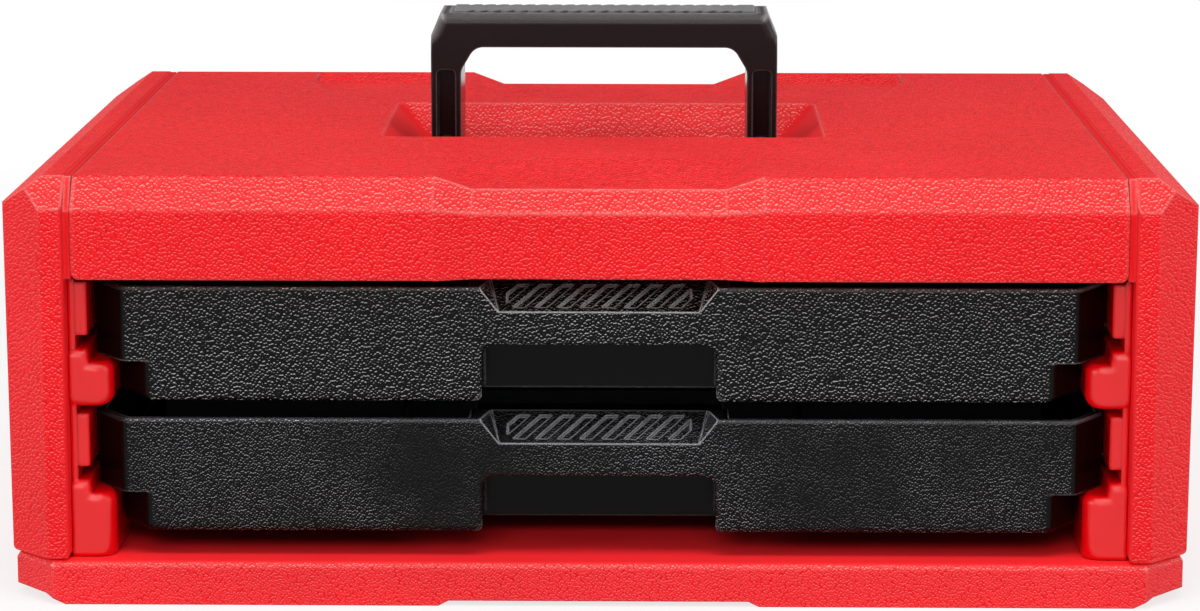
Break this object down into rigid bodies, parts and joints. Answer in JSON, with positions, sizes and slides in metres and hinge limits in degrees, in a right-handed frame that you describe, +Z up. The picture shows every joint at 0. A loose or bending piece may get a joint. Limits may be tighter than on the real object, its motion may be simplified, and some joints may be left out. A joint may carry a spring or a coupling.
{
  "type": "two-drawer tool organizer box",
  "caption": "Portable moulded plastic organizer box with sliding drawers on side runners, finger pulls, removable dividers, post trays for sockets and a fixed bridge handle on the lid.",
  "frame": {"origin": "bottom centre of the box, on the plane that the base rests on", "axes": "+Z up, -Y towards the drawer fronts, +X to the right of someone facing the drawers"},
  "size_m": [0.4434, 0.335, 0.2068],
  "materials": {
    "red_grained": "leather-grained moulding",
    "red_smooth": "smooth satin moulding",
    "black_grained": "leather-grained moulding",
    "black_handle": "fine satin moulding",
    "grip_grey": "soft matt overmould",
    "tray_grey": "fine matt moulding",
    "steel": "zinc plated"
  },
  "bodies": {
    "cabinet": {"base_tray": "red_grained", "end_panel_left": "red_grained", "end_panel_right": "red_grained", "top_cover": "red_grained", "back_panel": "red_grained", "runner_left": "red_smooth", "runner_right": "red_smooth", "handle": "black_handle", "handle_grip_pad": "grip_grey", "handle_retainer_left": "steel", "handle_retainer_right": "steel", "handle_screws": "steel", "cover_screws": "steel", "end_panel_screws": "steel", "base_screws": "steel", "back_panel_screws": "steel"},
    "upper_drawer_body": {"upper_drawer": "black_grained", "upper_socket_tray": "tray_grey", "upper_long_divider": "tray_grey", "upper_short_dividers": "tray_grey"},
    "lower_drawer_body": {"lower_drawer": "black_grained", "lower_socket_tray": "tray_grey", "lower_long_divider": "tray_grey", "lower_short_dividers": "tray_grey"}
  },
  "joints": [
    {"name": "upper_drawer_slide", "type": "slide", "parent": "cabinet", "child": "upper_drawer_body", "axis": [0, -1, 0], "range_m": [0, 0.24]},
    {"name": "lower_drawer_slide", "type": "slide", "parent": "cabinet", "child": "lower_drawer_body", "axis": [0, -1, 0], "range_m": [0, 0.24]}
  ]
}
